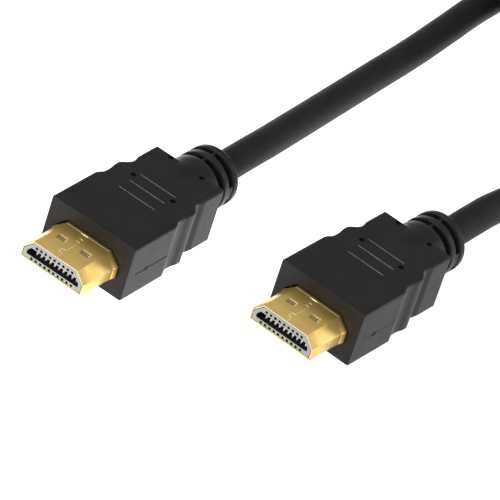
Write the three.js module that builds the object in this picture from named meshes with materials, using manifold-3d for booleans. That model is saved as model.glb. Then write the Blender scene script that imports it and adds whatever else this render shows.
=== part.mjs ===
// A video cable with a flat multi-pin plug on each end, lying on a floor with its spare length in a tied hank.
// Millimetres, +Z up, floor at z = 0. Both plugs point their mating tips towards -Y.
import * as THREE from "three";
import { mergeVertices } from "three/addons/utils/BufferGeometryUtils.js";
import Module from "manifold-3d";

const wasm = await Module();
wasm.setup();

// Plated shell, a flat tube with one narrow side (up) and one wide side (down)
const shellWidth = 13.9;
const shellHeight = 4.45;
const shellSideHeight = 2.35;
const shellNarrowWidth = 9.8;
const shellWall = 0.35;
const shellReach = 9.9;
const shellRoot = 6;
const shellCorner = 0.5;
const smallestCorner = 0.15;
const collarReach = 0.9;
const collarStep = 0.45;
const springWindowWidth = 1.8;
const springWindowLength = 1.3;
const springWindowSpacing = 5.4;
const springWindowFromTip = 5.25;

// Contact carrier, the pale block inside the shell
const insertClearance = 0.1;
const insertRecess = 0.15;
const insertRoot = 4;
const mouthWidth = 11.6;
const mouthHeight = 1.55;
const mouthFloor = 1.28;
const mouthCorner = 0.7;
const mouthDepth = 8;
const lipThickness = 1;

// Contacts, one row of ten below the mouth and one of nine above it
const contactPitch = 1;
const lowerContactCount = 10;
const upperContactCount = 9;
const lowerRowHeight = 0.81;
const upperRowHeight = 3.35;
const contactWidth = 0.36;
const contactThickness = 0.2;
const contactClearance = 0.08;
const contactHoleHeight = 0.5;
const contactTipSetback = 0.4;
const contactBumpDepth = 2;
const contactBumpHeight = 0.65;
const contactBumpLength = 1.4;
const contactTail = 0.6;

// Moulded grip with its ringed strain relief
const gripWidth = 18.8;
const gripHeight = 11.4;
const gripEdge = 0.4;
const gripCorner = 0.5;
const frontBlockLength = 12.3;
const ribWidth = 17.8;
const ribStart = 17.1;
const ribEnd = 18.7;
const frontGrooveWidth = 17.2;
const rearGrooveWidth = 14.9;
const rearGrooveSlope = 1.6;
const backBlockWidth = 15.6;
const backBlockStart = 23;
const backBlockEnd = 28.8;
const pocketClearance = 0.3;
const shellFloorHeight = 3.8;
const reliefAxisHeight = 6.05;
const reliefDiameter = 11.7;
const reliefEnd = 38;
const reliefRound = 0.5;
const reliefGrooveWidth = 1.4;
const reliefGrooveDepth = 1.7;
const reliefGrooveSpacing = 2.9;
const lastRingWidth = 1.7;
const narrowWebWidth = 0.7;
const sideWebHeight = 3;

// Cable and its hank: turns of two sizes, beside and on each other, each with two straight runs
const cableDiameter = 6;
const cableSides = 10;
const cableStep = 12;
const jointGap = 0.3;
const hankCentreX = 1.8;
const hankStartY = 127;
const hankRunLength = 104;
const hankInnerRadius = 18;
const hankTurnPitch = 6.2;
const hankTurnsAcross = 2;
const hankLayers = 2;
const hankEndLayers = 3;
const hankEndReach = 30;
const hankTailLength = 18;
const hankBase = 0.9;
const tieWidth = 12;
const tieThickness = 0.6;
const tieClearance = 0.3;
const tieCorner = 0.5;

// Where the second plug lies, measured from the first
const secondPlugOffset = new THREE.Vector2(35.9, 21.2);
const secondPlugTurn = THREE.MathUtils.degToRad(-1.8);

// The cable's free routes after each plug, laid on the floor and up to the hank
const firstRoute = [
  [-18.3, 25, 6], [-18.6, 31, 5.55], [-19.2, 39, 4.9], [-19.9, 49, 4.15], [-20.6, 60, 3.5],
  [-21.1, 71, 3.15], [-21.5, 85, 3.1], [-22, 98, 3.5], [-22.4, 108.7, 3.9],
];
const secondRoute = [
  [19.1, 46.2, 6], [19, 52.2, 5.5], [19.6, 61.5, 4.7], [20.7, 70, 4.1], [22.3, 78, 4.1],
  [23.9, 86, 5.1], [25.2, 94, 7.1], [25.9, 101.5, 9.3], [26, 108.4, 10.1],
];

// Worked out from the sizes above
const tipY = -shellReach;
const insertFrontY = tipY + insertRecess;
const lipBackY = insertFrontY + lipThickness;
const mouthBackY = insertFrontY + mouthDepth;
const mouthMiddle = mouthFloor + mouthHeight / 2;
const channelWidth = contactWidth + 2 * contactClearance;
const reach = 1;
const hankOuterRadius = hankInnerRadius + (hankTurnsAcross - 1) * hankTurnPitch;
const turnedSides = 32;
const fewArcSteps = 3;

const gold = new THREE.MeshStandardMaterial({ color: 0xc9a65a, roughness: 0.28, metalness: 1 });
const contactGold = new THREE.MeshStandardMaterial({ color: 0xe2c06a, roughness: 0.25, metalness: 1 });
const palePlastic = new THREE.MeshStandardMaterial({ color: 0xb4b0aa, roughness: 0.5, metalness: 0 });
const blackMoulding = new THREE.MeshStandardMaterial({ color: 0x262423, roughness: 0.5, metalness: 0 });
const blackJacket = new THREE.MeshStandardMaterial({ color: 0x221f20, roughness: 0.45, metalness: 0 });

// Turn a closed three.js geometry into a solid for joining and cutting
function solid(geometry) {
  const bare = geometry.index ? geometry.toNonIndexed() : geometry.clone();
  bare.deleteAttribute("normal");
  bare.deleteAttribute("uv");
  const merged = mergeVertices(bare, 1e-4);
  const corners = Array.from(merged.index.array);
  const triangles = [];
  for (let i = 0; i < corners.length; i += 3) {
    const [a, b, c] = corners.slice(i, i + 3);
    // A turned outline that starts on its axis has flat triangles there, which are left out
    if (a !== b && b !== c && c !== a) {
      triangles.push(a, b, c);
    }
  }
  return new wasm.Manifold(new wasm.Mesh({
    numProp: 3,
    vertProperties: new Float32Array(merged.attributes.position.array),
    triVerts: new Uint32Array(triangles),
  }));
}

// Turn a solid back into a three.js geometry
function geometryOf(manifold) {
  const mesh = manifold.getMesh();
  const geometry = new THREE.BufferGeometry();
  geometry.setAttribute("position", new THREE.BufferAttribute(new Float32Array(mesh.vertProperties), 3));
  geometry.setIndex(new THREE.BufferAttribute(new Uint32Array(mesh.triVerts), 1));
  geometry.computeVertexNormals();
  return geometry;
}

function namedMesh(name, geometry, material) {
  const mesh = new THREE.Mesh(geometry, material);
  mesh.name = name;
  return mesh;
}

// A closed outline in x and z, run along Y from startY to endY
function extrudeAlongY(shape, startY, endY) {
  const geometry = new THREE.ExtrudeGeometry(shape, {
    depth: endY - startY, bevelEnabled: false, curveSegments: fewArcSteps,
  });
  geometry.rotateX(Math.PI / 2);
  geometry.translate(0, endY, 0);
  return solid(geometry);
}

function box(x0, x1, y0, y1, z0, z1) {
  const geometry = new THREE.BoxGeometry(x1 - x0, y1 - y0, z1 - z0);
  geometry.translate((x0 + x1) / 2, (y0 + y1) / 2, (z0 + z1) / 2);
  return solid(geometry);
}

// Corner points of the shell's six-sided outline, moved inwards by inset (outwards where it is negative)
function shellCorners(inset) {
  const wide = shellWidth / 2;
  const narrow = shellNarrowWidth / 2;
  const shoulderRise = shellHeight - shellSideHeight;
  const shoulderRun = wide - narrow;
  const shoulderLength = Math.hypot(shoulderRise, shoulderRun);
  const sideX = wide - inset;
  const topZ = shellHeight - inset;
  const topX = narrow - inset * (shoulderLength - shoulderRun) / shoulderRise;
  const sideZ = shellSideHeight - inset * (shoulderLength - shoulderRise) / shoulderRun;
  return [
    [-sideX, inset], [sideX, inset], [sideX, sideZ], [topX, topZ], [-topX, topZ], [-sideX, sideZ],
  ];
}

// A closed outline through corners, each rounded by the same distance along its two sides
function roundedOutline(corners, cut) {
  const shape = new THREE.Shape();
  corners.forEach(([x, z], i) => {
    const before = new THREE.Vector2(...corners[(i + corners.length - 1) % corners.length]);
    const after = new THREE.Vector2(...corners[(i + 1) % corners.length]);
    const corner = new THREE.Vector2(x, z);
    const start = corner.clone().add(before.sub(corner).setLength(cut));
    const end = corner.clone().add(after.sub(corner).setLength(cut));
    if (i === 0) {
      shape.moveTo(start.x, start.y);
    } else {
      shape.lineTo(start.x, start.y);
    }
    shape.quadraticCurveTo(corner.x, corner.y, end.x, end.y);
  });
  shape.closePath();
  return shape;
}

function shellBar(inset, startY, endY) {
  const cut = Math.max(shellCorner - inset, smallestCorner);
  return extrudeAlongY(roundedOutline(shellCorners(inset), cut), startY, endY);
}

// Plated shell: tube, flared collar where it meets the grip, and two windows for the springs
function makeShell() {
  let shell = shellBar(0, tipY, shellRoot);
  shell = shell.add(shellBar(-collarStep, -collarReach, -pocketClearance));
  shell = shell.subtract(shellBar(shellWall, tipY - reach, shellRoot + reach));
  const windowY = tipY + springWindowFromTip;
  for (const side of [-1, 1]) {
    const middle = side * springWindowSpacing / 2;
    shell = shell.subtract(box(
      middle - springWindowWidth / 2, middle + springWindowWidth / 2,
      windowY - springWindowLength / 2, windowY + springWindowLength / 2,
      shellHeight - shellWall - insertClearance / 2, shellHeight + reach,
    ));
  }
  return shell;
}

// Middle x of each contact in a row
function rowPlaces(count) {
  return Array.from({ length: count }, (_, i) => (i - (count - 1) / 2) * contactPitch);
}

const rows = [
  { name: "lower", count: lowerContactCount, height: lowerRowHeight, towardMouth: 1 },
  { name: "upper", count: upperContactCount, height: upperRowHeight, towardMouth: -1 },
];

// Contact carrier: block with the mouth, and a hole and a channel for each contact
function makeInsert() {
  let insert = shellBar(shellWall + insertClearance, insertFrontY, insertRoot);
  const low = mouthFloor;
  const high = mouthFloor + mouthHeight;
  const mouth = roundedOutline([
    [-mouthWidth / 2, low], [mouthWidth / 2, low], [mouthWidth / 2, low + mouthCorner],
    [mouthWidth / 2 - mouthCorner, high], [mouthCorner - mouthWidth / 2, high],
    [-mouthWidth / 2, low + mouthCorner],
  ], smallestCorner);
  insert = insert.subtract(extrudeAlongY(mouth, insertFrontY - reach, mouthBackY));
  for (const row of rows) {
    const outerZ = row.height - row.towardMouth * contactHoleHeight / 2;
    const innerZ = row.height + row.towardMouth * contactHoleHeight / 2;
    for (const x of rowPlaces(row.count)) {
      const left = x - channelWidth / 2;
      const right = x + channelWidth / 2;
      insert = insert.subtract(box(
        left, right, insertFrontY - reach, insertRoot + reach,
        Math.min(outerZ, innerZ), Math.max(outerZ, innerZ),
      ));
      insert = insert.subtract(box(
        left, right, lipBackY, mouthBackY, Math.min(outerZ, mouthMiddle), Math.max(outerZ, mouthMiddle),
      ));
    }
  }
  return insert;
}

// Side view of one contact strip in y and z, with the bump that touches the other half
function contactGeometry(towardMouth) {
  const half = contactThickness / 2;
  const startY = insertFrontY + contactTipSetback;
  const endY = insertRoot + contactTail;
  const bumpY = insertFrontY + contactBumpDepth;
  const line = [
    [startY, 0], [bumpY - contactBumpLength / 2, 0], [bumpY - contactBumpLength / 5, contactBumpHeight],
    [bumpY + contactBumpLength / 5, contactBumpHeight], [bumpY + contactBumpLength, 0], [endY, 0],
  ];
  const upperSide = line.map(([y, z]) => [y, z * towardMouth + half]);
  const lowerSide = line.map(([y, z]) => [y, z * towardMouth - half]).reverse();
  const shape = new THREE.Shape([...lowerSide, ...upperSide].map(([y, z]) => new THREE.Vector2(y, z)));
  const geometry = new THREE.ExtrudeGeometry(shape, { depth: contactWidth, bevelEnabled: false });
  geometry.translate(0, 0, -contactWidth / 2);
  // The outline's y and z and the extrusion's depth become the model's Y, Z and X
  geometry.applyMatrix4(new THREE.Matrix4().makeBasis(
    new THREE.Vector3(0, 1, 0), new THREE.Vector3(0, 0, 1), new THREE.Vector3(1, 0, 0),
  ));
  return geometry;
}

// Plan outline of the grip, with a rib and two finger grooves on each side
function gripOutline() {
  const right = [
    [gripWidth / 2, 0], [gripWidth / 2, frontBlockLength], [frontGrooveWidth / 2, (frontBlockLength + ribStart) / 2],
    [ribWidth / 2, ribStart], [ribWidth / 2, ribEnd], [rearGrooveWidth / 2, ribEnd + rearGrooveSlope],
    [rearGrooveWidth / 2, backBlockStart - rearGrooveSlope], [backBlockWidth / 2, backBlockStart],
    [backBlockWidth / 2, backBlockEnd],
  ];
  const left = right.map(([x, y]) => [-x, y]).reverse();
  return roundedOutline([...right, ...left], gripCorner);
}

// Grip moulding: body, ringed strain relief and the pocket that holds the shell
function makeGrip() {
  const body = new THREE.ExtrudeGeometry(gripOutline(), {
    depth: gripHeight - 2 * gripEdge, curveSegments: fewArcSteps - 1, bevelEnabled: true,
    bevelThickness: gripEdge, bevelSize: gripEdge, bevelOffset: -gripEdge, bevelSegments: 2,
  });
  body.translate(0, 0, gripEdge);
  let grip = solid(body);

  const radius = reliefDiameter / 2;
  const relief = new THREE.LatheGeometry([
    new THREE.Vector2(0, backBlockStart), new THREE.Vector2(radius, backBlockStart),
    new THREE.Vector2(radius, reliefEnd - reliefRound), new THREE.Vector2(radius - reliefRound, reliefEnd),
    new THREE.Vector2(0, reliefEnd),
  ], turnedSides);
  relief.translate(0, 0, reliefAxisHeight);
  grip = grip.add(solid(relief));

  for (const place of [0, 1]) {
    const grooveEnd = reliefEnd - lastRingWidth - place * reliefGrooveSpacing;
    grip = grip.subtract(reliefGroove(grooveEnd - reliefGrooveWidth, grooveEnd));
  }
  const pocket = shellBar(-pocketClearance, -reach, shellRoot + pocketClearance);
  return grip.subtract(pocket.translate(0, 0, shellFloorHeight));
}

// One ring-shaped cut in the strain relief, with webs left at the top, the bottom and both sides
function reliefGroove(startY, endY) {
  const outer = reliefDiameter / 2 + reach;
  const inner = reliefDiameter / 2 - reliefGrooveDepth;
  const ring = new THREE.LatheGeometry([
    new THREE.Vector2(inner, startY), new THREE.Vector2(outer, startY),
    new THREE.Vector2(outer, endY), new THREE.Vector2(inner, endY), new THREE.Vector2(inner, startY),
  ], turnedSides);
  ring.translate(0, 0, reliefAxisHeight);
  const uprightWeb = box(
    -narrowWebWidth / 2, narrowWebWidth / 2, startY - reach, endY + reach,
    reliefAxisHeight - outer - reach, reliefAxisHeight + outer + reach,
  );
  const sideWeb = box(
    -outer - reach, outer + reach, startY - reach, endY + reach,
    reliefAxisHeight - sideWebHeight / 2, reliefAxisHeight + sideWebHeight / 2,
  );
  return solid(ring).subtract(uprightWeb).subtract(sideWeb);
}

// One whole plug, its grip's front face at y = 0 and its flat underside on the floor
function makePlug(prefix) {
  const plug = new THREE.Group();
  const core = new THREE.Group();
  core.position.z = shellFloorHeight;
  core.add(namedMesh(`${prefix}_shell`, geometryOf(makeShell()), gold));
  core.add(namedMesh(`${prefix}_insert`, geometryOf(makeInsert()), palePlastic));
  for (const row of rows) {
    rowPlaces(row.count).forEach((x, i) => {
      const name = `${prefix}_${row.name}_contact_${i + 1}`;
      const contact = namedMesh(name, contactGeometry(row.towardMouth), contactGold);
      contact.position.set(x, 0, row.height);
      core.add(contact);
    });
  }
  plug.add(core);
  plug.add(namedMesh(`${prefix}_grip`, geometryOf(makeGrip()), blackMoulding));
  return plug;
}

// The cable's tube from a plug's strain relief along its route
function makeCableTube(name, plug, route) {
  const exit = new THREE.Vector3(0, reliefEnd + jointGap, reliefAxisHeight);
  const points = [plug.localToWorld(exit), ...route.map((point) => new THREE.Vector3(...point))];
  const path = new THREE.CatmullRomCurve3(points);
  const section = new THREE.Shape(Array.from({ length: cableSides }, (_, i) => {
    const angle = (i + 0.5) * 2 * Math.PI / cableSides;
    return new THREE.Vector2(Math.cos(angle), Math.sin(angle)).multiplyScalar(cableDiameter / 2);
  }));
  const geometry = new THREE.ExtrudeGeometry(section, {
    steps: Math.round(path.getLength() / cableStep), extrudePath: path, bevelEnabled: false,
  });
  return namedMesh(name, geometry, blackJacket);
}

// Plan outline with two straight runs and round ends, its runs at the radius from the middle
function stadium(radius) {
  const farY = hankStartY + hankRunLength;
  const shape = new THREE.Shape();
  shape.absarc(hankCentreX, hankStartY, radius, Math.PI, 2 * Math.PI);
  shape.absarc(hankCentreX, farY, radius, 0, Math.PI);
  shape.closePath();
  return shape;
}

// A plan outline with one hole, from the hank's underside up to a height that holds so many layers
function hankRing(outerRadius, innerRadius, layers) {
  const outline = stadium(outerRadius);
  outline.holes.push(stadium(innerRadius));
  const geometry = new THREE.ExtrudeGeometry(outline, {
    depth: layersHeight(layers), bevelEnabled: false, curveSegments: turnedSides / 2,
  });
  geometry.translate(0, 0, hankBase);
  return solid(geometry);
}

function layersHeight(layers) {
  return (layers - 1) * hankTurnPitch + cableDiameter;
}

// The folded length as one solid of the hank's outer shape, three layers high at the end near the plugs,
// with the short tails that lead in on the floor and out on top
function makeHank() {
  const half = cableDiameter / 2;
  const outer = hankOuterRadius + half;
  const inner = hankInnerRadius - half;
  const top = hankBase + layersHeight(hankEndLayers);
  const nearEnd = box(
    hankCentreX - outer - reach, hankCentreX + outer + reach, hankStartY - outer - reach,
    hankStartY + hankEndReach, hankBase, top,
  );
  let hank = hankRing(outer, inner, hankLayers);
  hank = hank.add(hankRing(outer - half, inner, hankEndLayers).intersect(nearEnd));
  for (const [side, layer] of [[-1, 0], [1, 1]]) {
    const middle = hankCentreX + side * hankOuterRadius;
    const low = hankBase + layer * hankTurnPitch;
    hank = hank.add(box(
      middle - half, middle + half, hankStartY - hankTailLength, hankStartY, low, low + cableDiameter,
    ));
  }
  return namedMesh("cable_hank", geometryOf(hank), blackJacket);
}

// The strap that holds the hank together, one flat loop round both of its sides
function makeTie() {
  const middleY = hankStartY + (hankRunLength + hankEndReach) / 2;
  const half = hankOuterRadius + cableDiameter / 2 + tieClearance;
  const high = hankBase + layersHeight(hankLayers) + tieClearance;
  const loop = (grow) => roundedOutline([
    [hankCentreX - half - grow, tieThickness - grow], [hankCentreX + half + grow, tieThickness - grow],
    [hankCentreX + half + grow, high + grow], [hankCentreX - half - grow, high + grow],
  ], tieCorner + grow);
  const outside = extrudeAlongY(loop(tieThickness), middleY - tieWidth / 2, middleY + tieWidth / 2);
  const inside = extrudeAlongY(loop(0), middleY - tieWidth, middleY + tieWidth);
  return namedMesh("hank_tie", geometryOf(outside.subtract(inside)), blackJacket);
}

const group = new THREE.Group();
const plugs = new THREE.Group();
const firstPlug = makePlug("first");
const secondPlug = makePlug("second");
secondPlug.position.set(secondPlugOffset.x, secondPlugOffset.y, 0);
secondPlug.rotation.z = secondPlugTurn;
plugs.add(firstPlug, secondPlug);

// The origin is the bottom centre of the two plugs' box
const plugsBox = new THREE.Box3().setFromObject(plugs, true);
plugs.position.x = -(plugsBox.min.x + plugsBox.max.x) / 2;
plugs.position.y = -(plugsBox.min.y + plugsBox.max.y) / 2;
group.add(plugs);
group.updateMatrixWorld(true);

group.add(makeCableTube("cable_from_first_plug", firstPlug, firstRoute));
group.add(makeCableTube("cable_from_second_plug", secondPlug, secondRoute));
group.add(makeHank());
group.add(makeTie());
group.updateMatrixWorld(true);

export default group;
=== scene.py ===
"""The looks of a video cable with a flat plug on each end, in metres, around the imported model."""

import math

import bmesh
import bpy
import numpy as np
from mathutils import Matrix, Vector


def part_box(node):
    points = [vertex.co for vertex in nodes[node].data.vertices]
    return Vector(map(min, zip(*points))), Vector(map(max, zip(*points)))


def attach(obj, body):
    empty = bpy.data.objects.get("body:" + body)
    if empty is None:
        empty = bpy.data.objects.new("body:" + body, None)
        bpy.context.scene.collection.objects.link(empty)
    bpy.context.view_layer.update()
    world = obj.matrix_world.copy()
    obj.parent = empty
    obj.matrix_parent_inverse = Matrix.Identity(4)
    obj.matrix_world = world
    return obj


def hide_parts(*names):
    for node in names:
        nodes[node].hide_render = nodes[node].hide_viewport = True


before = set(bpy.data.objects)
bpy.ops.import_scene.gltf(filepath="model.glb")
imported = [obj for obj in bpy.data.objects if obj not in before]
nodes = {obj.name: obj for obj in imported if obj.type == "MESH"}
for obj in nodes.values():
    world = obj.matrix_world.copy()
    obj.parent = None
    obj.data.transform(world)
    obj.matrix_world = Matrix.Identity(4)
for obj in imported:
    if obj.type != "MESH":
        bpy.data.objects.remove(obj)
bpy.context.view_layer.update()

MM = 0.001

# Where the plugs lie: the first by the frame, the second at the CAD's own offset from it
first_low, first_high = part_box("first_grip")
first_place = Vector(((first_low.x + first_high.x) / 2, first_low.y, 0))
second_place = first_place + Vector((35.9, 21.2, 0)) * MM
second_turn = math.radians(-1.8)
plug_places = {
    "first": Matrix.Translation(first_place),
    "second": Matrix.Translation(second_place) @ Matrix.Rotation(second_turn, 4, "Z"),
}

# Plug sizes in millimetres, as in the CAD
shell_width = 13.9
shell_height = 4.45
shell_side_height = 2.35
shell_narrow_width = 9.8
shell_wall = 0.35
shell_reach = 9.9
shell_root = 6.0
shell_floor = 3.8
shell_corner = 0.2
grip_height = 11.4
pocket_clearance = 0.3
relief_axis = 6.05
relief_radius = 5.85
relief_end = 38.0
cable_diameter = 6.0


# Camera

def make_camera():
    """The photograph's view: a long lens from above, to the right of the plugs, with the horizon tilted."""
    azimuth = math.radians(25.85)
    elevation = math.radians(34.38)
    roll = math.radians(18.42)
    distance = 897.1 * MM
    target = first_place + Vector((14.19, 33.27, 0)) * MM
    back = Vector((
        math.cos(elevation) * math.sin(azimuth),
        -math.cos(elevation) * math.cos(azimuth),
        math.sin(elevation),
    ))
    level_right = Vector((math.cos(azimuth), math.sin(azimuth), 0))
    level_up = back.cross(level_right)
    right = level_right * math.cos(roll) + level_up * math.sin(roll)
    up = back.cross(right)
    camera_data = bpy.data.cameras.new("camera")
    camera_data.sensor_width = 36
    camera_data.lens = 360
    camera_data.clip_start = 0.01
    camera = bpy.data.objects.new("camera", camera_data)
    bpy.context.scene.collection.objects.link(camera)
    turn = Matrix((right, up, back)).transposed().to_4x4()
    camera.matrix_world = Matrix.Translation(target + back * distance) @ turn
    bpy.context.scene.camera = camera


make_camera()


# Materials

def new_material(name):
    """An empty material with its node tree and its main shader."""
    material = bpy.data.materials.new(name)
    material.use_nodes = True
    tree = material.node_tree
    shader = tree.nodes["Principled BSDF"]
    return material, tree, shader


def add_node(tree, kind, **inputs):
    """A new node with the given values for its inputs."""
    node = tree.nodes.new(kind)
    for key, value in inputs.items():
        node.inputs[key].default_value = value
    return node


def noise(tree, scale, detail=4.0, roughness=0.55, stretch=(1, 1, 1)):
    """Noise in the object's own coordinates, with scale in features per metre."""
    place = add_node(tree, "ShaderNodeTexCoord")
    mapping = add_node(tree, "ShaderNodeMapping")
    mapping.inputs["Scale"].default_value = stretch
    tree.links.new(place.outputs["Object"], mapping.inputs["Vector"])
    texture = add_node(tree, "ShaderNodeTexNoise", Scale=scale, Detail=detail, Roughness=roughness)
    tree.links.new(mapping.outputs["Vector"], texture.inputs["Vector"])
    return texture.outputs["Fac"]


def ramp(tree, source, stops):
    """Turns a 0 to 1 value into a colour between the stops."""
    node = add_node(tree, "ShaderNodeValToRGB")
    elements = node.color_ramp.elements
    while len(elements) < len(stops):
        elements.new(0.5)
    for element, (position, colour) in zip(elements, stops):
        element.position = position
        element.color = (*colour, 1)
    tree.links.new(source, node.inputs["Fac"])
    return node.outputs["Color"]


def spread(tree, source, low, high):
    """Turns a 0 to 1 value into one between low and high."""
    node = add_node(tree, "ShaderNodeMapRange")
    node.inputs["To Min"].default_value = low
    node.inputs["To Max"].default_value = high
    tree.links.new(source, node.inputs["Value"])
    return node.outputs["Result"]


def bump(tree, shader, height, distance, strength):
    """Fine relief of the given depth, in metres, that is too small for the mesh."""
    node = add_node(tree, "ShaderNodeBump", Distance=distance, Strength=strength)
    tree.links.new(height, node.inputs["Height"])
    tree.links.new(node.outputs["Normal"], shader.inputs["Normal"])


def gold_plating():
    """Thin bright plating on stamped steel, with faint rolling marks along the plug and cloudy patches."""
    material, tree, shader = new_material("gold_plating")
    shader.inputs["Metallic"].default_value = 0.8
    clouds = noise(tree, 260, 3)
    colour = ramp(tree, clouds, [(0.3, (0.80, 0.53, 0.14)), (0.7, (0.90, 0.64, 0.22))])
    tree.links.new(colour, shader.inputs["Base Color"])
    marks = noise(tree, 2600, 3, 0.6, (1, 0.06, 1))
    tree.links.new(spread(tree, marks, 0.26, 0.4), shader.inputs["Roughness"])
    bump(tree, shader, marks, 0.000004, 0.3)
    return material


def contact_gold():
    """Paler, smoother gold of the contact strips: the pale, little-metallic colour is partly the gold's own
    and partly a painted highlight on their bends in the dark mouth.
    """
    material, tree, shader = new_material("contact_gold")
    shader.inputs["Metallic"].default_value = 0.35
    colour = ramp(tree, noise(tree, 900), [(0.35, (0.95, 0.86, 0.62)), (0.65, (0.98, 0.92, 0.74))])
    tree.links.new(colour, shader.inputs["Base Color"])
    tree.links.new(spread(tree, noise(tree, 1800), 0.25, 0.4), shader.inputs["Roughness"])
    return material


def pale_plastic():
    """Light grey moulded carrier, slightly cloudy."""
    material, tree, shader = new_material("pale_plastic")
    colour = ramp(tree, noise(tree, 400), [(0.3, (0.25, 0.24, 0.235)), (0.7, (0.31, 0.30, 0.29))])
    tree.links.new(colour, shader.inputs["Base Color"])
    tree.links.new(spread(tree, noise(tree, 1500), 0.38, 0.55), shader.inputs["Roughness"])
    bump(tree, shader, noise(tree, 6000), 0.000008, 0.3)
    return material


def black_moulding():
    """Soft black moulding with a fine eroded grain, slightly warm, a little shinier where it is handled."""
    material, tree, shader = new_material("black_moulding")
    colour = ramp(tree, noise(tree, 180), [(0.3, (0.012, 0.0108, 0.0104)), (0.7, (0.018, 0.016, 0.0154))])
    tree.links.new(colour, shader.inputs["Base Color"])
    shader.inputs["Specular IOR Level"].default_value = 0.14
    tree.links.new(spread(tree, noise(tree, 300, 2), 0.28, 0.42), shader.inputs["Roughness"])
    grain = noise(tree, 5200, 5, 0.6)
    bump(tree, shader, grain, 0.00002, 0.35)
    return material


def black_jacket():
    """Extruded jacket: smooth, with faint drawn lines along it and a little bloom."""
    material, tree, shader = new_material("black_jacket")
    colour = ramp(tree, noise(tree, 120), [(0.3, (0.013, 0.0095, 0.0098)), (0.7, (0.021, 0.0155, 0.016))])
    tree.links.new(colour, shader.inputs["Base Color"])
    shader.inputs["Specular IOR Level"].default_value = 0.12
    tree.links.new(spread(tree, noise(tree, 500, 3), 0.48, 0.6), shader.inputs["Roughness"])
    bump(tree, shader, noise(tree, 1800, 3), 0.00003, 0.25)
    return material


def highlight_and_wear_moulding():
    """The same moulding on the bars' upper sides, greyer and smoother: the lighter grey is a painted
    highlight along the bars, with some rubbed wear.
    """
    material, tree, shader = new_material("highlight_and_wear_moulding")
    colour = ramp(tree, noise(tree, 1500, 4), [(0.3, (0.05, 0.048, 0.046)), (0.7, (0.15, 0.145, 0.14))])
    tree.links.new(colour, shader.inputs["Base Color"])
    tree.links.new(spread(tree, noise(tree, 2500, 3), 0.3, 0.45), shader.inputs["Roughness"])
    return material


def painted_mouth_shade():
    """Painted shade: a near-black colour for the inside of the mouth and the contact holes, where the
    carrier lies in shade.
    """
    material, tree, shader = new_material("painted_mouth_shade")
    colour = ramp(tree, noise(tree, 1500), [(0.3, (0.004, 0.0038, 0.0035)), (0.7, (0.009, 0.008, 0.007))])
    tree.links.new(colour, shader.inputs["Base Color"])
    shader.inputs["Roughness"].default_value = 0.7
    return material


def spring_steel():
    """Duller plating of the spring tongues behind the shell's windows."""
    material, tree, shader = new_material("spring_steel")
    shader.inputs["Metallic"].default_value = 1
    colour = ramp(tree, noise(tree, 700), [(0.3, (0.42, 0.33, 0.17)), (0.7, (0.56, 0.46, 0.28))])
    tree.links.new(colour, shader.inputs["Base Color"])
    tree.links.new(spread(tree, noise(tree, 2000, 3), 0.35, 0.5), shader.inputs["Roughness"])
    return material


def painted_edge_highlight():
    """Folds and edges on top of the shell in a pale, bright gold: a painted highlight along them."""
    material, tree, shader = new_material("painted_edge_highlight")
    shader.inputs["Metallic"].default_value = 0.3
    colour = ramp(tree, noise(tree, 900, 3), [(0.3, (0.95, 0.80, 0.42)), (0.7, (1.0, 0.9, 0.56))])
    tree.links.new(colour, shader.inputs["Base Color"])
    tree.links.new(spread(tree, noise(tree, 2000, 3), 0.25, 0.4), shader.inputs["Roughness"])
    return material


def bare_rim():
    """The cut front edge of the shell, where the plating is thin and greyish."""
    material, tree, shader = new_material("bare_rim")
    shader.inputs["Metallic"].default_value = 0.4
    colour = ramp(tree, noise(tree, 600, 3), [(0.3, (0.50, 0.46, 0.33)), (0.7, (0.66, 0.60, 0.42))])
    tree.links.new(colour, shader.inputs["Base Color"])
    tree.links.new(spread(tree, noise(tree, 2000, 3), 0.35, 0.5), shader.inputs["Roughness"])
    return material


def woven_strap():
    """Black hook-and-loop strap with a fine fuzzy weave."""
    material, tree, shader = new_material("woven_strap")
    weave = noise(tree, 2400, 5, 0.7)
    colour = ramp(tree, weave, [(0.3, (0.008, 0.008, 0.009)), (0.7, (0.03, 0.029, 0.03))])
    tree.links.new(colour, shader.inputs["Base Color"])
    shader.inputs["Roughness"].default_value = 0.9
    bump(tree, shader, noise(tree, 3600, 5, 0.7), 0.00015, 0.7)
    return material


def pale_floor():
    """A white studio table, lit evenly from below as product tables are, with hardly any shadow."""
    material, tree, shader = new_material("pale_floor")
    colour = ramp(tree, noise(tree, 40), [(0.3, (0.1, 0.1, 0.1)), (0.7, (0.12, 0.12, 0.12))])
    tree.links.new(colour, shader.inputs["Base Color"])
    shader.inputs["Roughness"].default_value = 0.9
    shader.inputs["Specular IOR Level"].default_value = 0
    shader.inputs["Emission Color"].default_value = (1, 1, 1, 1)
    # The light under the table is stronger to the left, past the first plug
    place = add_node(tree, "ShaderNodeTexCoord")
    parts = add_node(tree, "ShaderNodeSeparateXYZ")
    tree.links.new(place.outputs["Object"], parts.inputs["Vector"])
    fade = add_node(tree, "ShaderNodeMapRange")
    fade.inputs["From Min"].default_value = -0.005
    fade.inputs["From Max"].default_value = 0.03
    fade.inputs["To Min"].default_value = 1.75
    fade.inputs["To Max"].default_value = 1.05
    tree.links.new(parts.outputs["X"], fade.inputs["Value"])
    tree.links.new(fade.outputs["Result"], shader.inputs["Emission Strength"])
    return material


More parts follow.
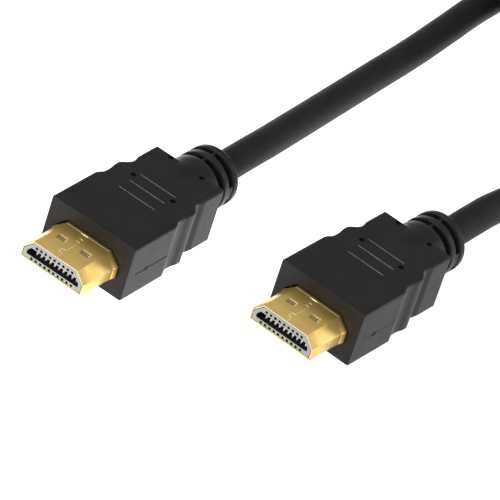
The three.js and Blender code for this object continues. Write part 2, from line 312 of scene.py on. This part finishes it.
materials = {
    "gold_plating": gold_plating(),
    "contact_gold": contact_gold(),
    "pale_plastic": pale_plastic(),
    "black_moulding": black_moulding(),
    "black_jacket": black_jacket(),
    "woven_strap": woven_strap(),
    # Lighter grey for the bars' tops: a painted highlight, partly rubbed wear
    "highlight_and_wear_moulding": highlight_and_wear_moulding(),
    # Near black for the inside of the carrier's mouth and holes: painted shade
    "painted_mouth_shade": painted_mouth_shade(),
    "spring_steel": spring_steel(),
    # Pale gold for the beads on the shell's top: a painted highlight
    "painted_edge_highlight": painted_edge_highlight(),
    "bare_rim": bare_rim(),
}


# Mesh helpers, all in millimetres in a plug's own frame: x across, y along towards the cable, z up

def rounded_polygon(corners, radii, steps=6):
    """Points round a convex outline, anticlockwise, with arcs at its corners, of one radius or one each."""
    points = []
    count = len(corners)
    if not isinstance(radii, (list, tuple)):
        radii = [radii] * count
    for i, corner in enumerate(corners):
        radius = radii[i]
        corner = Vector(corner)
        before = (Vector(corners[i - 1]) - corner).normalized()
        after = (Vector(corners[(i + 1) % count]) - corner).normalized()
        half = before.angle(after) / 2
        centre = corner + (before + after).normalized() * (radius / math.sin(half))
        start = corner + before * (radius / math.tan(half))
        end = corner + after * (radius / math.tan(half))
        first_angle = math.atan2(start.y - centre.y, start.x - centre.x)
        sweep = math.atan2(end.y - centre.y, end.x - centre.x) - first_angle
        sweep = (sweep + math.pi) % (2 * math.pi) - math.pi
        for k in range(steps + 1):
            angle = first_angle + sweep * k / steps
            points.append((centre.x + radius * math.cos(angle), centre.y + radius * math.sin(angle)))
    return np.array(points)


def shell_outline(inset, radius):
    """The shell's six-sided outline in x and z above its wide side, moved inwards by inset."""
    wide = shell_width / 2
    narrow = shell_narrow_width / 2
    rise = shell_height - shell_side_height
    run = wide - narrow
    slope = math.hypot(rise, run)
    side_x = wide - inset
    top_x = narrow - inset * (slope - run) / rise
    side_z = shell_side_height - inset * (slope - rise) / run
    corners = [
        (-side_x, inset), (side_x, inset), (side_x, side_z),
        (top_x, shell_height - inset), (-top_x, shell_height - inset), (-side_x, side_z),
    ]
    return rounded_polygon(corners, radius)


def reach_at(outline, centre, angles):
    """How far the outline lies from the centre in each direction."""
    start = np.asarray(outline) - np.asarray(centre)
    edge = np.roll(start, -1, axis=0) - start
    result = np.zeros(len(angles))
    for i, angle in enumerate(angles):
        direction = np.array((math.cos(angle), math.sin(angle)))
        turned = direction[0] * edge[:, 1] - direction[1] * edge[:, 0]
        turned = np.where(np.abs(turned) < 1e-12, 1e-12, turned)
        along_ray = (start[:, 0] * edge[:, 1] - start[:, 1] * edge[:, 0]) / turned
        along_edge = (start[:, 0] * direction[1] - start[:, 1] * direction[0]) / turned
        hit = (along_ray > 0) & (along_edge >= -1e-6) & (along_edge <= 1 + 1e-6)
        result[i] = along_ray[hit].max()
    return result


def add_loft(mesh, rings, closed=True):
    """Joins rings of equal count into a skin, with flat ends where it is closed."""
    rows = [[mesh.verts.new(point) for point in ring] for ring in rings]
    for low, high in zip(rows, rows[1:]):
        for i in range(len(low)):
            j = (i + 1) % len(low)
            mesh.faces.new((low[i], low[j], high[j], high[i]))
    if closed:
        mesh.faces.new(rows[0][::-1])
        mesh.faces.new(rows[-1])
    return rows


def add_block(mesh, low, high):
    """A box between two corners."""
    middle = (Vector(low) + Vector(high)) / 2
    size = Vector(high) - Vector(low)
    made = bmesh.ops.create_cube(mesh, size=1)["verts"]
    matrix = Matrix.Translation(middle) @ Matrix.Diagonal((*size, 1))
    bmesh.ops.transform(mesh, matrix=matrix, verts=made)


def add_pin(mesh, centre, radius, depth, sides=20):
    """A short upright cylinder centred on a point."""
    made = bmesh.ops.create_cone(
        mesh, cap_ends=True, segments=sides, radius1=radius, radius2=radius, depth=depth,
    )["verts"]
    bmesh.ops.transform(mesh, matrix=Matrix.Translation(centre), verts=made)


def mesh_object(name, mesh, place, sharp_angle):
    """Makes an object of a millimetre mesh, at its place in the frame, smooth but for its sharp edges."""
    bmesh.ops.recalc_face_normals(mesh, faces=mesh.faces)
    bmesh.ops.transform(mesh, matrix=place @ Matrix.Diagonal((MM, MM, MM, 1)), verts=mesh.verts)
    for face in mesh.faces:
        face.smooth = True
    for edge in mesh.edges:
        if len(edge.link_faces) == 2:
            edge.smooth = edge.calc_face_angle(0) < math.radians(sharp_angle)
    data = bpy.data.meshes.new(name)
    mesh.to_mesh(data)
    mesh.free()
    piece = bpy.data.objects.new(name, data)
    bpy.context.scene.collection.objects.link(piece)
    return piece


def cut(piece, cutter_mesh):
    """Cuts a millimetre mesh out of a millimetre piece, both before they are placed."""
    cutter_data = bpy.data.meshes.new("cutter")
    cutter_mesh.to_mesh(cutter_data)
    cutter_mesh.free()
    cutter = bpy.data.objects.new("cutter", cutter_data)
    bpy.context.scene.collection.objects.link(cutter)
    modifier = piece.modifiers.new("cut", "BOOLEAN")
    modifier.operation = "DIFFERENCE"
    modifier.solver = "MANIFOLD"
    modifier.object = cutter
    graph = bpy.context.evaluated_depsgraph_get()
    graph.update()
    result = bpy.data.meshes.new_from_object(piece.evaluated_get(graph))
    piece.modifiers.clear()
    piece.data = result
    bpy.data.objects.remove(cutter)


def finished(name, work, place, slot, replaced, sharp_angle, others, pick):
    """Places a millimetre piece in the frame, gives it its material, and lets it stand for its CAD nodes.

    pick(middle, normal), in millimetres, gives 0 for a face of the piece's own material, or the number of
    another one.
    """
    mesh = bmesh.new()
    mesh.from_mesh(work.data)
    bpy.data.objects.remove(work)
    bmesh.ops.remove_doubles(mesh, verts=mesh.verts, dist=1e-5)
    bmesh.ops.recalc_face_normals(mesh, faces=mesh.faces)
    for face in mesh.faces:
        face.material_index = pick(face.calc_center_median(), face.normal)
    piece = mesh_object(name, mesh, place, sharp_angle)
    piece.data.materials.append(materials[slot])
    for other in others:
        piece.data.materials.append(materials[other])
    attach(piece, "root")
    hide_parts(*replaced)
    return piece


def work_object(mesh):
    """An unplaced object in millimetres, for cutting."""
    bmesh.ops.recalc_face_normals(mesh, faces=mesh.faces)
    data = bpy.data.meshes.new("work")
    mesh.to_mesh(data)
    mesh.free()
    work = bpy.data.objects.new("work", data)
    bpy.context.scene.collection.objects.link(work)
    return work


# Grip

# Full width of the grip at each place along it: front block, front groove, rib, rear groove, back block
grip_plan = [
    (0.0, 18.8), (12.7, 18.8), (13.8, 17.45), (14.9, 17.2), (16.2, 17.3), (17.3, 17.75), (18.9, 17.8),
    (19.8, 16.3), (20.6, 15.2), (21.4, 14.9), (22.3, 15.1), (23.0, 15.6), (28.8, 15.6),
]
front_round = 0.14
rear_round = 0.25
back_block_end = 28.8
top_edge_round = 0.42
bottom_edge_round = 0.15
groove_starts = (32.0, 34.95)
groove_width = 1.4
groove_depth = 1.7
ring_chamfer = 0.22
web_width = 0.7
side_web_height = 3.0
angles = np.linspace(0, 2 * math.pi, 240, endpoint=False)
grip_centre = (0.0, 5.85)
pocket_lip = 0.15
hump_start = 23.5
section_spacing = 0.3
relief_end_round = 0.5
bore_clearance = 0.04
bore_lip = 0.12
top_pits = [(-4.75, 17.7), (4.4, 17.6), (-4.0, 28.1), (3.2, 28.0)]
pit_radius = 0.55
pit_cut_height = 0.9
parting_height = 4.8
parting_width = 0.22
parting_depth = 0.3
parting_start = 2.7
parting_end = 14.4
side_pit_middle = 5.8
side_pit_half_length = 1.0
side_pit_half_height = 0.4
side_pit_depth = 0.5
ridge_places = (12.5, 15.65, 18.85)
ridge_half_length = 4.15
ridge_half_width = 0.15
ridge_height = 0.13
front_mark_centre = (1.8, 10.6)
front_mark_reach = (0.75, 0.55)


def grip_width_at(y):
    """Width of the grip at y, with the plan's corners softened."""
    places, widths = zip(*grip_plan)
    near = np.linspace(-0.45, 0.45, 9)
    return float(np.mean(np.interp(np.clip(y + near, 0, back_block_end), places, widths)))


def body_reach(y, inset):
    """Reach of the grip's four-sided section at y, drawn in by inset."""
    half = grip_width_at(y) / 2 - inset
    corners = [(-half, inset), (half, inset), (half, grip_height - inset), (-half, grip_height - inset)]
    radii = (bottom_edge_round, bottom_edge_round, top_edge_round, top_edge_round)
    return reach_at(rounded_polygon(corners, radii, 5), grip_centre, angles)


def round_reach(radius):
    """Reach of a circle about the strain relief's axis."""
    turn = np.linspace(0, 2 * math.pi, 360, endpoint=False)
    circle = np.stack((radius * np.cos(turn), relief_axis + radius * np.sin(turn)), axis=1)
    return reach_at(circle, grip_centre, angles)


def ring_of(y, reach):
    """The grip's section at y, as points at the given reach in each direction."""
    x = grip_centre[0] + reach * np.cos(angles)
    z = grip_centre[1] + reach * np.sin(angles)
    return [(across, y, up) for across, up in zip(x.tolist(), z.tolist())]


def groove_floor():
    """Reach inside a relief groove: drawn in, except at the webs."""
    full = round_reach(relief_radius - ring_chamfer)
    deep = round_reach(relief_radius - groove_depth)
    x = full * np.cos(angles)
    z = grip_centre[1] + full * np.sin(angles) - relief_axis
    from_web = np.minimum(np.abs(x) - web_width / 2, np.abs(z) - side_web_height / 2)
    share = np.clip(from_web / 0.12 + 0.5, 0, 1)
    return full + (deep - full) * share


def grip_rings():
    """The grip's skin from the shell's pocket round the front, along the outside and into the bore."""
    rings = []
    pocket = shell_outline(-pocket_clearance, shell_corner + pocket_clearance) + (0, shell_floor)
    pocket_reach = reach_at(pocket, grip_centre, angles)
    rings.append(ring_of(shell_root + pocket_clearance, pocket_reach))
    rings.append(ring_of(0.2, pocket_reach))
    lip_reach = pocket_reach + pocket_lip
    rings.append(ring_of(0.0, lip_reach))
    front = body_reach(0, front_round)
    for share in (0.35, 0.7, 1.0):
        rings.append(ring_of(0.0, lip_reach + (front - lip_reach) * share))
    for step in range(1, 6):
        angle = math.pi / 2 * step / 5
        y = front_round * (1 - math.cos(angle))
        rings.append(ring_of(y, body_reach(y, front_round * (1 - math.sin(angle)))))
    flat = back_block_end - rear_round
    for y in np.arange(front_round + 0.4, flat + 0.01, section_spacing):
        body = body_reach(y, 0)
        if y > hump_start:
            share = (y - hump_start) / (flat - hump_start)
            hump = round_reach(relief_radius - 0.5 + 0.45 * share * share * (3 - 2 * share))
            body = np.maximum(body, hump)
        rings.append(ring_of(y, body))
    neck = round_reach(relief_radius - 0.05)
    for step in range(1, 7):
        angle = math.pi / 2 * step / 6
        y = flat + rear_round * math.sin(angle)
        body = body_reach(flat, rear_round * (1 - math.cos(angle)))
        rings.append(ring_of(y, np.maximum(body, neck)))
    last = body_reach(flat, rear_round)
    for share, step in ((0.5, 0.0), (0.8, 0.08), (1.0, 0.3)):
        rings.append(ring_of(back_block_end + step, np.maximum(last, neck) * (1 - share) + neck * share))
    outer = round_reach(relief_radius)
    chamfered = round_reach(relief_radius - ring_chamfer)
    floor = groove_floor()
    rings.append(ring_of(30.5, outer))
    for start in groove_starts:
        end = start + groove_width
        rings.append(ring_of(start - ring_chamfer, outer))
        rings.append(ring_of(start - ring_chamfer * 0.3, round_reach(relief_radius - ring_chamfer * 0.3)))
        rings.append(ring_of(start, chamfered))
        rings.append(ring_of(start + 0.02, floor))
        rings.append(ring_of(end - 0.02, floor))
        rings.append(ring_of(end, chamfered))
        rings.append(ring_of(end + ring_chamfer * 0.7, round_reach(relief_radius - ring_chamfer * 0.3)))
        rings.append(ring_of(end + ring_chamfer, outer))
    for step in range(6):
        angle = math.pi / 2 * step / 5
        y = relief_end - relief_end_round * (1 - math.sin(angle))
        rings.append(ring_of(y, round_reach(relief_radius - relief_end_round * (1 - math.cos(angle)))))
    bore = round_reach(cable_diameter / 2 + bore_clearance)
    rings.append(ring_of(relief_end, bore + bore_lip))
    rings.append(ring_of(relief_end - bore_lip, bore))
    rings.append(ring_of(relief_end - 2.5, bore))
    return rings


def make_grip(prefix, place):
    """One moulding: the skin less its pits and parting lines, with three bars and a small front mark."""
    mesh = bmesh.new()
    add_loft(mesh, grip_rings())
    work = work_object(mesh)

    cutter = bmesh.new()
    for x, y in top_pits:
        add_pin(cutter, (x, y, grip_height), pit_radius, pit_cut_height)
    for side in (-1, 1):
        add_side_pit(cutter, side)
        add_parting_line(cutter, side)
    cut(work, cutter)

    mesh = bmesh.new()
    mesh.from_mesh(work.data)
    for y in ridge_places:
        line = [(-ridge_half_length, y, grip_height), (ridge_half_length, y, grip_height)]
        add_bead(mesh, line, (0, 0, 1), ridge_half_width, ridge_height)
    arc = []
    for turn in np.linspace(math.radians(200), math.radians(340), 9):
        x = front_mark_centre[0] + front_mark_reach[0] * math.cos(turn)
        arc.append((x, 0, front_mark_centre[1] + front_mark_reach[1] * math.sin(turn)))
    add_bead(mesh, arc, (0, -1, 0), 0.06, 0.05)
    mesh.to_mesh(work.data)
    mesh.free()
    # The bars' upper sides take the lighter grey, a painted highlight with some rubbed wear.
    return finished(
        f"{prefix}_grip_moulding", work, place, "black_moulding", [f"{prefix}_grip"], sharp_angle=35,
        others=["highlight_and_wear_moulding"], pick=grip_material,
    )


def grip_material(middle, normal):
    """The upper side of the three bars on the grip's top is the other material, a lighter grey that is a
    painted highlight, partly rubbed wear.
    """
    on_bar = middle.z > grip_height + 0.04 and abs(middle.x) < ridge_half_length and 12 < middle.y < 19.3
    return 1 if on_bar else 0


def add_side_pit(mesh, side):
    """The long oval mark on the parting line of each side."""
    surface = grip_width_at(0) / 2
    rings = []
    for x in (surface - side_pit_depth, surface + 0.4):
        ring = []
        for turn in np.linspace(0, 2 * math.pi, 24, endpoint=False):
            y = side_pit_middle + side_pit_half_length * math.cos(turn)
            ring.append((side * x, y, parting_height + side_pit_half_height * math.sin(turn)))
        rings.append(ring)
    add_loft(mesh, rings)


def add_parting_line(mesh, side):
    """The thin line where the two halves of the mould met, following the side's outline."""
    rings = []
    for y in np.arange(parting_start, parting_end, section_spacing):
        surface = grip_width_at(y) / 2
        low = parting_height - parting_width / 2
        high = parting_height + parting_width / 2
        near, far = side * (surface - parting_depth), side * (surface + 0.3)
        rings.append([(near, y, low), (far, y, low), (far, y, high), (near, y, high)])
    add_loft(mesh, rings)


def add_bead(mesh, line, up, half_width, proud):
    """A thin rounded bead lying along a line on a flat face, with its root just inside the face."""
    line = [Vector(point) for point in line]
    up = Vector(up)
    section = [(half_width * math.cos(a), proud * math.sin(a)) for a in np.linspace(0, math.pi, 9)]
    section += [(-half_width, -proud), (half_width, -proud)]
    rings = []
    for i, point in enumerate(line):
        before = line[max(i - 1, 0)]
        after = line[min(i + 1, len(line) - 1)]
        along = (after - before).normalized()
        across = up.cross(along)
        # At a corner the section leans into the middle of the two directions and widens to keep its width
        own = (point - before).normalized() if i > 0 else along
        widen = 1 / max(along.dot(own), 0.5)
        if i == 0:
            rings.append([point + across * a * 0.5 + up * b * 0.5 for a, b in section])
            point = point + along * half_width
        if i == len(line) - 1:
            last = point
            point = point - along * half_width
        rings.append([point + across * a * widen + up * b for a, b in section])
        if i == len(line) - 1:
            rings.append([last + across * a * 0.5 + up * b * 0.5 for a, b in section])
    add_loft(mesh, rings)


# Shell

seam_lines = [
    [(0.1, -3.3), (0.06, -6.95), (-0.7, -7.15), (-0.63, -8.25), (0.1, -8.2), (0.24, -8.9), (0.34, -9.7)],
    [(-0.75, -3.05), (0.1, -3.05)],
    [(-0.78, -1.98), (0.05, -1.98)],
]
seam_half_width = 0.055
window_middle = 2.65
window_half_width = 0.95
window_front = -5.45
window_back = -4.05
window_depth = 0.16
window_corner = 0.3
flare_start = 4.6
flare_blend = 2.2
tab_line = [(-1.6, -0.5), (0.05, -0.5)]

# The outside from the front rim to the grip: inset of the outline, place along the plug, and side flare
shell_profile = [
    (0.05, 0.03 - shell_reach, 0), (0, 0.12 - shell_reach, 0), (0, -7, 0), (0, -3, 0), (0, -2.2, 0.04),
    (0, -1.7, 0.12), (0, -1.45, 0.1), (0, -1.2, 0.24), (0, -0.8, 0.3), (0, -0.55, 0.42), (0, -0.3, 0.4),
    (0, -0.2, 0.2), (0.02, -0.1, 0.02), (0, shell_root, 0),
]


def outline_ring(inset, y, side_flare=0.0):
    """The shell's outline at y, pushed out by side_flare at its two sides but not on top."""
    radius = max(shell_corner - inset, 0.12)
    points = []
    for x, z in shell_outline(inset, radius):
        share = min(max((abs(x) - flare_start) / flare_blend, 0), 1)
        reach = side_flare * share * (0.75 + 0.25 * math.sin(z * 5.3 + x))
        points.append((x + math.copysign(reach, x), y, z + shell_floor + reach * 0.3))
    return points


def make_shell(prefix, place):
    """The plated tube, with two sunk windows, the folded seam, window edges with a painted highlight and the
    tab.
    """
    tip = -shell_reach
    mesh = bmesh.new()
    rings = [
        outline_ring(shell_wall, shell_root), outline_ring(shell_wall, tip + 0.12),
        outline_ring(shell_wall - 0.08, tip + 0.02), outline_ring(0.15, tip),
    ]
    for inset, y, flare in shell_profile:
        rings.append(outline_ring(inset, y, flare))
    rows = add_loft(mesh, rings, closed=False)
    for i in range(len(rows[0])):
        j = (i + 1) % len(rows[0])
        mesh.faces.new((rows[-1][i], rows[-1][j], rows[0][j], rows[0][i]))
    work = work_object(mesh)

    top = shell_floor + shell_height
    cutter = bmesh.new()
    for side in (-1, 1):
        add_window(cutter, side * window_middle, top)
    cut(work, cutter)

    mesh = bmesh.new()
    mesh.from_mesh(work.data)
    for line in seam_lines:
        add_bead(mesh, [(x, y, top) for x, y in line], (0, 0, 1), seam_half_width, 0.035)
    for side in (-1, 1):
        middle = side * window_middle
        left, right = middle - window_half_width, middle + window_half_width
        edge = [
            (left, window_back, top), (right, window_back, top), (right, window_front + window_corner, top),
        ]
        add_bead(mesh, edge, (0, 0, 1), 0.07, 0.05)
    add_bead(mesh, [(x, y, top) for x, y in tab_line], (0, 0, 1), 0.17, 0.12)
    mesh.to_mesh(work.data)
    mesh.free()
    return finished(
        f"{prefix}_plated_shell", work, place, "gold_plating", [f"{prefix}_shell"], sharp_angle=30,
        others=["spring_steel", "painted_edge_highlight", "bare_rim"], pick=shell_material,
    )


def shell_material(middle, normal):
    """Duller spring tongues behind the windows, a painted highlight on the folded edges on top, and a bare
    rim in front.
    """
    top = shell_floor + shell_height
    inside = abs(abs(middle.x) - window_middle) < window_half_width and window_front < middle.y < window_back
    if inside and top - window_depth - 0.01 < middle.z < top - 0.05 and normal.z > 0.7:
        return 1
    # The beads on top, away from behind the tab, take the pale gold of a painted highlight.
    behind_tab = middle.y > -1 and not -1.7 < middle.x < 0.15
    if middle.z > top + 0.008 and not behind_tab:
        return 2
    if middle.y < -shell_reach + 0.02 and normal.y < -0.9:
        return 3
    return 0


def add_window(mesh, x, top):
    """The sunk place of one spring, with rounded corners."""
    left, right = x - window_half_width, x + window_half_width
    outline = rounded_polygon([
        (left, window_front), (right, window_front), (right, window_back), (left, window_back),
    ], window_corner)
    lower = [(px, py, top - window_depth) for px, py in outline]
    upper = [(px, py, top + 0.5) for px, py in outline]
    add_loft(mesh, [lower, upper])


# Contact carrier and contacts keep the CAD shapes

carrier_set_back = 0.15


def make_insert(prefix):
    """The CAD's carrier in two materials: pale in front, and near black inside the mouth and the holes as
    painted shade.
    """
    source = nodes[f"{prefix}_insert"]
    mesh = bmesh.new()
    mesh.from_mesh(source.data)
    bmesh.ops.remove_doubles(mesh, verts=mesh.verts, dist=1e-7)
    bmesh.ops.transform(mesh, matrix=Matrix.Diagonal((1 / MM, 1 / MM, 1 / MM, 1)), verts=mesh.verts)
    work = work_object(mesh)
    place = plug_places[prefix].copy()
    place.translation = place.translation / MM
    bring_back = place.inverted()
    front = -shell_reach + carrier_set_back

    def carrier_material(middle, normal):
        """All but the flat front gets the painted shade of the mouth and the holes."""
        own = bring_back @ middle
        return 1 if own.y > front + 0.05 else 0

    return finished(
        f"{prefix}_contact_carrier", work, Matrix.Identity(4), "pale_plastic", [f"{prefix}_insert"],
        sharp_angle=20, others=["painted_mouth_shade"], pick=carrier_material,
    )


# Cable and its strap

# The route in millimetres, as the CAD has it: after the first plug, through the hank, to the second plug
first_route = [
    (-18.3, 25, 6), (-18.6, 31, 5.55), (-19.2, 39, 4.9), (-19.9, 49, 4.15), (-20.6, 60, 3.5),
    (-21.1, 71, 3.15), (-21.5, 85, 3.1), (-22, 98, 3.5), (-22.4, 108.7, 3.9),
]
second_route = [
    (19.1, 46.2, 6), (19, 52.2, 5.5), (19.6, 61.5, 4.7), (20.7, 70, 4.1), (22.3, 78, 4.1),
    (23.9, 86, 5.1), (25.2, 94, 7.1), (25.9, 101.5, 9.3), (26, 108.4, 10.1),
]
hank_centre_x = 1.8
hank_start_y = 127.0
hank_run = 104.0
hank_inner_radius = 18.0
hank_pitch = 6.2
hank_base = 0.9
hank_end_reach = 30.0
climb_length = 60.0
cable_in_bore = 2.2
tie_width = 12.0
tie_thickness = 0.6
tie_clearance = 0.3
tie_corner = 2.6
lap_left = 16.0
lap_right = 14.0
lap_thickness = 0.8

# One line for each turn: how many pitches outside the inner turn, and its level at the far end, at the near
# end on the way out along the left side, and at the near end on the way back along the right side
hank_turns = [(1, 0, 0, 0), (0, 0, 0, 1), (0, 1, 1, 2), (1, 1, 2, 1)]


def soft_step(share):
    """Goes from 0 to 1 without a corner at either end."""
    share = min(max(share, 0), 1)
    return share * share * (3 - 2 * share)


def hank_run_points(x, far_level, near_level):
    """One straight run from its near end to its far end, climbing close to the near end."""
    points = []
    for from_near in np.linspace(0, hank_run, 9):
        climb = soft_step(1 - from_near / climb_length)
        level = far_level + (near_level - far_level) * climb
        height = hank_base + cable_diameter / 2 + hank_pitch * level
        points.append((x, hank_start_y + from_near, height))
    return points


def fold_points(from_x, to_x, y, away, height):
    """The half circle between two runs, without its ends."""
    middle = (from_x + to_x) / 2
    radius = (to_x - from_x) / 2
    points = []
    for turn in np.linspace(0, math.pi, 9)[1:-1]:
        points.append((middle - radius * math.cos(turn), y + away * abs(radius) * math.sin(turn), height))
    return points


def hank_points():
    """Turns side by side and on each other: out on the left, round the far fold, back on the right."""
    points = []
    for i, (outward, far_level, left_level, right_level) in enumerate(hank_turns):
        radius = hank_inner_radius + outward * hank_pitch
        left = hank_centre_x - radius
        right = hank_centre_x + radius
        if i > 0:
            last_right = points[-1][0]
            points += fold_points(last_right, left, hank_start_y, -1, points[-1][2])
        points += hank_run_points(left, far_level, left_level)
        points += fold_points(left, right, hank_start_y + hank_run, 1, points[-1][2])
        points += hank_run_points(right, far_level, right_level)[::-1]
    return points


def smooth_line(points, spacing):
    """Points every spacing along a smooth curve through the given points."""
    points = np.array(points, float)
    padded = np.vstack((2 * points[0] - points[1], points, 2 * points[-1] - points[-2]))
    fine = []
    for i in range(1, len(padded) - 2):
        p0, p1, p2, p3 = padded[i - 1:i + 3]
        for t in np.linspace(0, 1, 24, endpoint=False):
            fine.append(0.5 * (
                2 * p1 + (p2 - p0) * t + (2 * p0 - 5 * p1 + 4 * p2 - p3) * t * t
                + (3 * p1 - 3 * p2 + p3 - p0) * t ** 3
            ))
    fine.append(points[-1])
    fine = np.array(fine)
    along = np.concatenate(([0], np.cumsum(np.linalg.norm(np.diff(fine, axis=0), axis=1))))
    places = np.linspace(0, along[-1], int(along[-1] / spacing) + 1)
    return np.stack([np.interp(places, along, fine[:, k]) for k in range(3)], axis=1)


def make_cable():
    """One cord from plug to plug, which starts and ends inside the two strain reliefs."""
    ends = []
    for prefix in ("first", "second"):
        place = plug_places[prefix]
        inside = place @ (Vector((0, relief_end - cable_in_bore, relief_axis)) * MM) / MM
        mouth = place @ (Vector((0, relief_end + 1, relief_axis)) * MM) / MM
        ends.append([tuple(inside), tuple(mouth)])
    route = ends[0] + first_route + hank_points() + second_route[::-1] + ends[1][::-1]
    line = smooth_line(route, 2.0)
    data = bpy.data.curves.new("cable_jacket", "CURVE")
    data.dimensions = "3D"
    data.bevel_depth = cable_diameter / 2 * MM
    data.bevel_resolution = 10
    data.use_fill_caps = True
    spline = data.splines.new("POLY")
    spline.points.add(len(line) - 1)
    for point, place in zip(spline.points, line):
        point.co = (*(place * MM), 1)
    spline.use_smooth = True
    cable = bpy.data.objects.new("cable_jacket", data)
    bpy.context.scene.collection.objects.link(cable)
    data.materials.append(materials["black_jacket"])
    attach(cable, "root")
    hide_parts("cable_from_first_plug", "cable_from_second_plug", "cable_hank")
    make_tie()



def make_tie():
    """The strap round the hank's middle: a flat loop with round corners and a lapped end on top."""
    middle_y = hank_start_y + (hank_run + hank_end_reach) / 2
    half = hank_inner_radius + hank_pitch + cable_diameter / 2 + tie_clearance
    high = hank_base + cable_diameter + hank_pitch + tie_clearance
    left, right = hank_centre_x - half, hank_centre_x + half
    mesh = bmesh.new()
    rings = []
    inside = rounded_polygon([
        (left, tie_thickness), (right, tie_thickness), (right, high), (left, high),
    ], tie_corner, 8)
    outside = rounded_polygon([
        (left - tie_thickness, 0), (right + tie_thickness, 0),
        (right + tie_thickness, high + tie_thickness), (left - tie_thickness, high + tie_thickness),
    ], tie_corner + tie_thickness, 8)
    for outline, y in ((inside, -1), (inside, 1), (outside, 1), (outside, -1)):
        rings.append([(x, middle_y + y * tie_width / 2, z) for x, z in outline])
    count = len(inside)
    rows = [[mesh.verts.new(point) for point in ring] for ring in rings]
    for a, b in zip(rows, rows[1:] + rows[:1]):
        for i in range(count):
            j = (i + 1) % count
            mesh.faces.new((a[i], a[j], b[j], b[i]))
    lap = high + tie_thickness
    lap_low = (hank_centre_x - lap_left, middle_y - tie_width / 2, lap - 0.1)
    lap_high = (hank_centre_x + lap_right, middle_y + tie_width / 2, lap + lap_thickness)
    add_block(mesh, lap_low, lap_high)
    tie = mesh_object("hank_strap", mesh, Matrix.Identity(4), 30)
    tie.data.materials.append(materials["woven_strap"])
    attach(tie, "root")
    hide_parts("hank_tie")
    return tie


make_cable()
for prefix, place in plug_places.items():
    make_grip(prefix, place)
    make_shell(prefix, place)
    make_insert(prefix)
    for name, node in nodes.items():
        if name.startswith(prefix) and "_contact_" in name:
            # The contacts take the pale gold, with its painted highlight.
            node.data.materials.clear()
            node.data.materials.append(materials["contact_gold"])


# Floor and light

def make_floor():
    """The table, which belongs to the stage and not to the part."""
    bpy.ops.mesh.primitive_plane_add(size=6)
    floor = bpy.context.object
    floor.name = "floor"
    floor.data.materials.append(pale_floor())


def area_light(name, place, aim, size, power):
    """A white card at a place, facing the aim, in metres and watts."""
    data = bpy.data.lights.new(name, "AREA")
    data.shape = "RECTANGLE"
    data.size, data.size_y = size
    data.energy = power
    light = bpy.data.objects.new(name, data)
    bpy.context.scene.collection.objects.link(light)
    light.location = place
    light.rotation_euler = (Vector(aim) - Vector(place)).to_track_quat("-Z", "Y").to_euler()


def make_light():
    """An even white room with four cards that brighten the shells' faces and the grips' front and side."""
    world = bpy.data.worlds.new("studio")
    bpy.context.scene.world = world
    world.use_nodes = True
    background = world.node_tree.nodes["Background"]
    background.inputs["Color"].default_value = (1, 1, 1, 1)
    background.inputs["Strength"].default_value = 0.52
    area_light("right_card", (0.8, 0.1, 0.12), (0, 0.02, 0), (0.6, 0.2), 2.2)
    area_light("front_card", (0.1, -0.8, 0.1), (0, 0, 0), (0.8, 0.18), 4)
    area_light("slope_card", (0.57, 0.78, 0.35), (0, 0.02, 0), (0.5, 0.35), 0.85)
    area_light("high_card", (-0.36, -0.58, 0.74), (0, 0, 0), (0.3, 0.3), 2)


make_floor()
make_light()
bpy.context.scene.view_settings.view_transform = "Standard"
